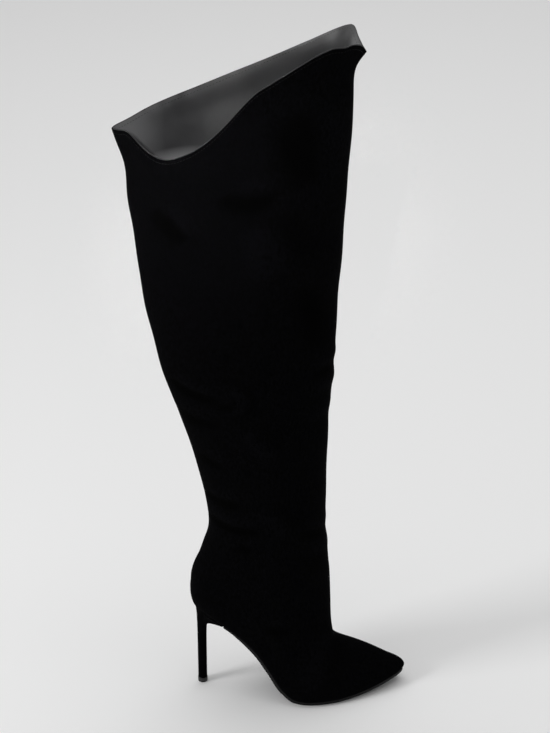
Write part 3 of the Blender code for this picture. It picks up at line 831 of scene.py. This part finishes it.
lockstitch = stitch_tree(bonded_thread())
stitch_sizes = {"Pitch": STITCH_PITCH, "Stitch length": STITCH_LENGTH, "Thread radius": STITCH_RADIUS}
stitch_line = form[-1] - STITCH_DROP * rim_up
for name, depth in (("collar_stitches_outside", 0.0), ("collar_stitches_inside", WALL)):
    stitches = stitch_row(name, stitch_line - depth * form_normals[-1], lockstitch, stitch_sizes)
    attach(stitches, "root")


# Outsole.
# Thin sole of bend leather, dyed and waxed black, cemented under the lasted upper from the heel's breast to
# the toe. Its cut edge is inked and rounded off at the tread.
SOLE_SKIVED_THICKNESS = 0.0018
SOLE_SKIVE_LENGTH = 0.030
SOLE_EDGE_BEVEL = 0.0008
BREAST_PLACE = 0.0227
SOLE_RUNGS = 150
ACROSS = 14
TRIMMED_ABOVE = math.radians(40)
MERGED_WITHIN = 0.00001


def feather_outline(turn, inset):
    """World X and half-width of the feather edge, drawn in by inset along its own normals.
    turn is an angle: 0 at the toe's tip, pi at the heel's back."""
    ring = form_rings()[0]
    step = 0.001

    def edge(angle):
        along = (1 + np.cos(angle)) / 2
        return ring[2] + (ring[0] - ring[2]) * along, half_width(ring, along)

    x, half = edge(turn)
    x_before, half_before = edge(np.maximum(turn - step, 0.0))
    x_after, half_after = edge(np.minimum(turn + step, math.pi))
    run, rise = x_after - x_before, half_after - half_before
    length = np.hypot(run, rise)
    toe, heel = np.isclose(turn, 0), np.isclose(turn, math.pi)
    moved = x - inset * rise / length
    moved = np.where(toe, ring[0] - inset, np.where(heel, ring[2] + inset, moved))
    return moved, np.where(toe | heel, 0.0, half + inset * run / length)


def slope_at(x):
    """Slope of the feather line at a world X."""
    step = 0.0005
    return (feather_height(x + step) - feather_height(x - step)) / (2 * step)


def slab(name, turn, layers, material):
    """A flat curved piece: outlines stacked from its top to its underside, closed by strips across.
    layers gives (inset, height at X) for each outline."""
    points, faces = [], []
    count = len(turn)
    shares = np.linspace(1, -1, ACROSS + 1)

    def add_rows(inset, height, sides_only):
        x, half = feather_outline(turn, inset)
        half = np.maximum(half, 0)
        z = height(x)
        for share in (1, -1) if sides_only else shares:
            points.extend(zip(x, middle_line(x) + share * half, z))

    last = len(layers) - 1
    starts = []
    for number, (inset, height) in enumerate(layers):
        starts.append(len(points))
        add_rows(inset, height, 0 < number < last)
    for number in (0, last):
        for strip in range(ACROSS):
            first = starts[number] + strip * count
            for k in range(count - 1):
                face = (first + k, first + count + k, first + count + k + 1, first + k + 1)
                faces.append(face if number == 0 else face[::-1])
    for number in range(last):
        far = ACROSS if number == 0 else 1
        low_far = ACROSS if number + 1 == last else 1
        top, low = starts[number], starts[number + 1]
        top_far, bottom_far = top + far * count, low + low_far * count
        for k in range(count - 1):
            faces.append((top + k, top + k + 1, low + k + 1, low + k))
            faces.append((top_far + k, bottom_far + k, bottom_far + k + 1, top_far + k + 1))
    for end, turned in ((0, 1), (count - 1, -1)):
        rim = [starts[0] + strip * count + end for strip in range(ACROSS + 1)]
        rim += [starts[n] + count + end for n in range(1, last)]
        rim += [starts[last] + strip * count + end for strip in range(ACROSS, -1, -1)]
        rim += [starts[n] + end for n in range(last - 1, 0, -1)]
        faces.append(tuple(rim[::-turned]))
    return merged(new_piece(name, points, faces, material))


def merged(piece):
    """The piece with points that coincide made one, as where an outline closes at the toe, and with its
    trimmed edges drawn sharp."""
    work = bmesh.new()
    work.from_mesh(piece.data)
    bmesh.ops.remove_doubles(work, verts=work.verts, dist=MERGED_WITHIN)
    bmesh.ops.dissolve_degenerate(work, edges=work.edges, dist=MERGED_WITHIN / 10)
    bmesh.ops.recalc_face_normals(work, faces=work.faces)
    work.to_mesh(piece.data)
    work.free()
    piece.data.set_sharp_from_angle(angle=TRIMMED_ABOVE)
    return piece


def waxed_sole_leather():
    """Dyed and waxed bend leather: close grain, a low waxy gloss and fine rubbing marks along the sole."""
    material, tree, shader = new_material("waxed_black_bend_leather")
    place = add_node(tree, "ShaderNodeTexCoord").outputs["Object"]
    # Grain pits are 0.7 mm apart.
    grain = add_node(tree, "ShaderNodeTexNoise", {"Vector": place, "Scale": 1400.0, "Detail": 3.0})
    drawn = add_node(tree, "ShaderNodeMapping", {"Vector": place, "Scale": (0.12, 1.0, 1.0)})
    rubs = add_node(
        tree, "ShaderNodeTexNoise", {"Vector": drawn.outputs["Vector"], "Scale": 420.0, "Detail": 4.0}
    )
    tone = add_node(
        tree,
        "ShaderNodeMix",
        {"Factor": rubs.outputs["Fac"], 6: srgb("#060607"), 7: srgb("#101011")},
        data_type="RGBA",
    )
    height = add_node(
        tree, "ShaderNodeMath", {0: grain.outputs["Fac"], 1: rubs.outputs["Fac"]}, operation="ADD"
    )
    bump = add_node(
        tree, "ShaderNodeBump", {"Strength": 0.25, "Distance": 0.00015, "Height": height.outputs[0]}
    )
    rough = add_node(
        tree, "ShaderNodeMapRange", {"Value": rubs.outputs["Fac"], "To Min": 0.42, "To Max": 0.62}
    )
    set_inputs(shader, {"Base Color": tone.outputs[2], "Normal": bump.outputs["Normal"]})
    set_inputs(shader, {"Roughness": rough.outputs[0], "Specular IOR Level": 0.2})
    return material


def sole_height(depth):
    """Height at X of the sole at a share of its thickness, 0 on top and 1 on the tread side."""

    def height(x):
        ahead = np.clip((x - BREAST_PLACE) / SOLE_SKIVE_LENGTH, 0, 1)
        full = ahead**2 * (3 - 2 * ahead)
        thickness = SOLE_SKIVED_THICKNESS + full * (SOLE_THICKNESS - SOLE_SKIVED_THICKNESS)
        return np.maximum(feather_height(x) - GAP - depth * thickness * np.hypot(1, slope_at(x)), 0.0)

    return height


ring = form_rings()[0]
breast_turn = math.acos(2 * (BREAST_PLACE + GAP - ring[2]) / (ring[0] - ring[2]) - 1)
sole_layers = [
    (0.10 * SOLE_EDGE_BEVEL, sole_height(0.0)),
    (0.0, sole_height(0.08)),
    (0.0, sole_height(0.70)),
    (0.15 * SOLE_EDGE_BEVEL, sole_height(0.84)),
    (0.50 * SOLE_EDGE_BEVEL, sole_height(0.95)),
    (1.00 * SOLE_EDGE_BEVEL, sole_height(1.0)),
]
outsole = slab("leather_outsole", np.linspace(breast_turn, 0, SOLE_RUNGS), sole_layers, waxed_sole_leather())
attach(outsole, "root")
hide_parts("outsole")


# Insole sock.
# Leather sock on a thin board, cemented over the lasted edges inside the foot. Its top edge is skived round.
INSOLE_THICKNESS = 0.0018
INSOLE_TOP_SKIVE = 0.0007
INSOLE_SKIVE = 0.0003


def insole_height(share):
    """Height at X of the insole at a share of its thickness, 0 underneath and 1 on top."""

    def height(x):
        return feather_height(x) + GAP + share * INSOLE_THICKNESS * np.hypot(1, slope_at(x))

    return height


def sock_leather():
    """Smooth sock leather: matte, close grained, a shade lighter than the lining."""
    material, tree, shader = new_material("matte_sock_leather")
    place = add_node(tree, "ShaderNodeTexCoord").outputs["Object"]
    # Creases of the grain stand about 1.2 mm apart.
    grain = add_node(
        tree, "ShaderNodeTexVoronoi", {"Vector": place, "Scale": 850.0}, feature="DISTANCE_TO_EDGE"
    )
    clouds = add_node(tree, "ShaderNodeTexNoise", {"Vector": place, "Scale": 40.0, "Detail": 4.0})
    tone = add_node(
        tree,
        "ShaderNodeMix",
        {"Factor": clouds.outputs["Fac"], 6: srgb("#2e2d2d"), 7: srgb("#444343")},
        data_type="RGBA",
    )
    bump = add_node(
        tree, "ShaderNodeBump", {"Strength": 0.3, "Distance": 0.0002, "Height": grain.outputs["Distance"]}
    )
    set_inputs(shader, {"Base Color": tone.outputs[2], "Roughness": 0.6, "Normal": bump.outputs["Normal"]})
    return material


INSET = WALL + GAP
insole_layers = [
    (INSET + INSOLE_TOP_SKIVE, insole_height(1.0)),
    (INSET + INSOLE_SKIVE, insole_height(0.93)),
    (INSET, insole_height(0.70)),
    (INSET, insole_height(0.0)),
]
insole = slab("leather_insole_sock", np.linspace(math.pi, 0, SOLE_RUNGS), insole_layers, sock_leather())
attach(insole, "root")
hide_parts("insole")


# Covered heel.
# Moulded stiletto heel, wrapped in the upper's suede with the join down its breast, and nailed and cemented
# through the insole under the seat.
STEM_LENGTH = 0.0092
STEM_WIDTH = 0.0092
TOP_LIFT_HEIGHT = 0.0052
SEAT_SQUARENESS = 14
HEEL_AROUND = 96
HEEL_DOWN = 110
# The rings crowd towards the seat. The front draws in at a rate of its own, which gives way to the back's
# over this much of the angle's cosine on either side of the middle.
HEEL_CROWDING = 1.8
SIDE_BLEND = 0.25

# Columns: share of the way down, then how far front, side and back have drawn in to the stem.
HEEL_RINGS = (
    (0.000, 0.000, 0.000, 0.000),
    (0.029, 0.010, 0.040, 0.080),
    (0.037, 0.340, 0.260, 0.150),
    (0.048, 0.620, 0.440, 0.240),
    (0.066, 0.790, 0.580, 0.370),
    (0.096, 0.890, 0.700, 0.540),
    (0.145, 0.945, 0.800, 0.720),
    (0.215, 0.972, 0.870, 0.850),
    (0.310, 0.986, 0.925, 0.945),
    (0.440, 0.992, 0.960, 0.985),
    (0.640, 0.997, 0.985, 1.000),
    (1.000, 1.000, 1.000, 1.000),
)


def seat_outline(angles):
    """The heel's seat seen from above: the upper's own round back and a straight breast."""
    back = ring[2]
    centre = (back + BREAST_PLACE) / 2
    reach = BREAST_PLACE - centre
    squared = np.abs(np.cos(angles)) ** SEAT_SQUARENESS + np.abs(np.sin(angles)) ** SEAT_SQUARENESS
    squared = squared ** (-1 / SEAT_SQUARENESS)
    x = centre + reach * np.where(np.cos(angles) > 0, squared, 1.0) * np.cos(angles)
    most = half_width(ring, (x - back) / (ring[0] - back))
    side = np.where(np.cos(angles) > 0, np.abs(np.sin(angles)) * squared, 1.0)
    return x, middle_line(x) + np.sign(np.sin(angles)) * most * side


def stacked_rings(name, rings, material):
    """A closed piece from rings stacked downwards, with strips across its two ends."""
    around = len(rings[0])
    faces = []
    for k in range(len(rings) - 1):
        for i in range(around):
            j = (i + 1) % around
            faces.append((k * around + i, (k + 1) * around + i, (k + 1) * around + j, k * around + j))
    last = (len(rings) - 1) * around
    for i in range(around // 2 - 1):
        faces.append((i, i + 1, around - 2 - i, around - 1 - i))
        faces.append((last + around - 1 - i, last + around - 2 - i, last + i + 1, last + i))
    return merged(new_piece(name, np.concatenate(rings), faces, material))


heel_angles = 2 * math.pi * (np.arange(HEEL_AROUND) + 0.5) / HEEL_AROUND
seat_x, seat_y = seat_outline(heel_angles)
seat_z = feather_height(seat_x) - GAP
stem_x = STEM_LENGTH / 2 * np.cos(heel_angles)
stem_y = STEM_WIDTH / 2 * np.sin(heel_angles)
heel_table = np.array(HEEL_RINGS)
ahead = np.clip((np.cos(heel_angles) + SIDE_BLEND) / (2 * SIDE_BLEND), 0, 1)
heel_rings = []
for down in np.linspace(0, 1, HEEL_DOWN) ** HEEL_CROWDING:
    front, side, back = (curve_through(heel_table[:, 0], heel_table[:, i], down) for i in (1, 2, 3))
    drawn = back + (front - back) * ahead**2 * (3 - 2 * ahead)
    x = seat_x + drawn * (stem_x - seat_x)
    y = seat_y + side * (stem_y - seat_y)
    z = seat_z + down * (TOP_LIFT_HEIGHT + GAP - seat_z)
    heel_rings.append(np.stack([x, y, z], axis=1))
heel = stacked_rings("covered_stiletto_heel", heel_rings, black_suede("suede_heel_cover", folded=False))
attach(heel, "root")
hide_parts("heel")


# Top lift.
# Moulded rubber tip on a steel dowel, pushed into the heel's end. Its side is smooth and its edges are
# broken by the trimming wheel.
TOP_LIFT_MARGIN = 0.0003
LIFT_EDGE = 0.0006


def lift_rubber():
    """Hard moulded rubber: black, dull, with the fine stipple of its mould."""
    material, tree, shader = new_material("hard_moulded_rubber")
    place = add_node(tree, "ShaderNodeTexCoord").outputs["Object"]
    # The stipple's grains are 0.45 mm across.
    stipple = add_node(tree, "ShaderNodeTexNoise", {"Vector": place, "Scale": 2200.0, "Detail": 2.0})
    tone = add_node(
        tree,
        "ShaderNodeMix",
        {"Factor": stipple.outputs["Fac"], 6: srgb("#0c0c0d"), 7: srgb("#1a1a1b")},
        data_type="RGBA",
    )
    bump = add_node(
        tree, "ShaderNodeBump", {"Strength": 0.3, "Distance": 0.0001, "Height": stipple.outputs["Fac"]}
    )
    set_inputs(shader, {"Base Color": tone.outputs[2], "Roughness": 0.48, "Normal": bump.outputs["Normal"]})
    return material


lift_rings = []
for height, inset in (
    (TOP_LIFT_HEIGHT, 0.5 * LIFT_EDGE),
    (TOP_LIFT_HEIGHT - 0.2 * LIFT_EDGE, 0.15 * LIFT_EDGE),
    (TOP_LIFT_HEIGHT - 0.5 * LIFT_EDGE, 0.0),
    (LIFT_EDGE, 0.0),
    (0.5 * LIFT_EDGE, 0.15 * LIFT_EDGE),
    (0.15 * LIFT_EDGE, 0.5 * LIFT_EDGE),
    (0.0, LIFT_EDGE),
):
    reach = TOP_LIFT_MARGIN - inset
    x = (STEM_LENGTH / 2 + reach) * np.cos(heel_angles)
    y = (STEM_WIDTH / 2 + reach) * np.sin(heel_angles)
    lift_rings.append(np.stack([x, y, np.full(HEEL_AROUND, height)], axis=1))
top_lift = stacked_rings("rubber_top_lift", lift_rings, lift_rubber())
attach(top_lift, "root")
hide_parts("top_lift")


# Floor, light and camera.
# A plain pale floor under a wide softbox, a key low on the left that rakes the creases, and a weak lamp
# beside the camera that reaches into the collar. The camera looks down on the boot's outer side.
def pale_floor():
    """Seamless studio paper: nearly white, and matt."""
    material, _, shader = new_material("pale_studio_floor")
    set_inputs(shader, {"Base Color": srgb("#f6f6f6"), "Roughness": 0.75})
    return material


FLOOR_REACH = 12.0
corners = [(x * FLOOR_REACH, y * FLOOR_REACH, 0) for x, y in ((-1, -1), (1, -1), (1, 1), (-1, 1))]
floor = new_piece("floor", corners, [(0, 1, 2, 3)], pale_floor())


def soft_light(name, place, aim, size, power, spread=180):
    """A square area light that looks at a point. spread is the angle that it shines into."""
    lamp = bpy.data.lights.new(name, "AREA")
    lamp.size = size
    lamp.energy = power
    lamp.spread = math.radians(spread)
    light = placed(name, lamp)
    light.location = place
    direction = np.subtract(aim, place)
    flat = math.hypot(direction[0], direction[1])
    light.rotation_euler = (
        math.pi / 2 + math.atan2(direction[2], flat),
        0,
        math.atan2(direction[1], direction[0]) - math.pi / 2,
    )


soft_light("overhead", (0.1, 1.2, 3.6), (0.1, 1.2, 0.0), 4.5, 72)
soft_light("key", (-2.2, -0.9, 1.5), (0.05, 0, 0.35), 0.7, 6.6, spread=90)
soft_light("collar", (-0.15, -2.0, 1.5), (-0.02, 0, 0.59), 0.2, 0.18, spread=8)

world = bpy.data.worlds.new("studio")
world.use_nodes = True
set_inputs(world.node_tree.nodes["Background"], {"Color": srgb("#f2f2f2"), "Strength": 0.42})
bpy.context.scene.world = world
bpy.context.scene.view_settings.view_transform = "Standard"

CAMERA_PLACE = (0.0754, -1.60, 1.16)
CAMERA_PITCH = math.radians(26.4)
CAMERA_LENS = 91.5
lens = bpy.data.cameras.new("camera")
lens.sensor_width = 36.0
lens.lens = CAMERA_LENS
camera = placed("camera", lens)
camera.location = CAMERA_PLACE
camera.rotation_euler = (math.pi / 2 - CAMERA_PITCH, 0, 0)
bpy.context.scene.camera = camera
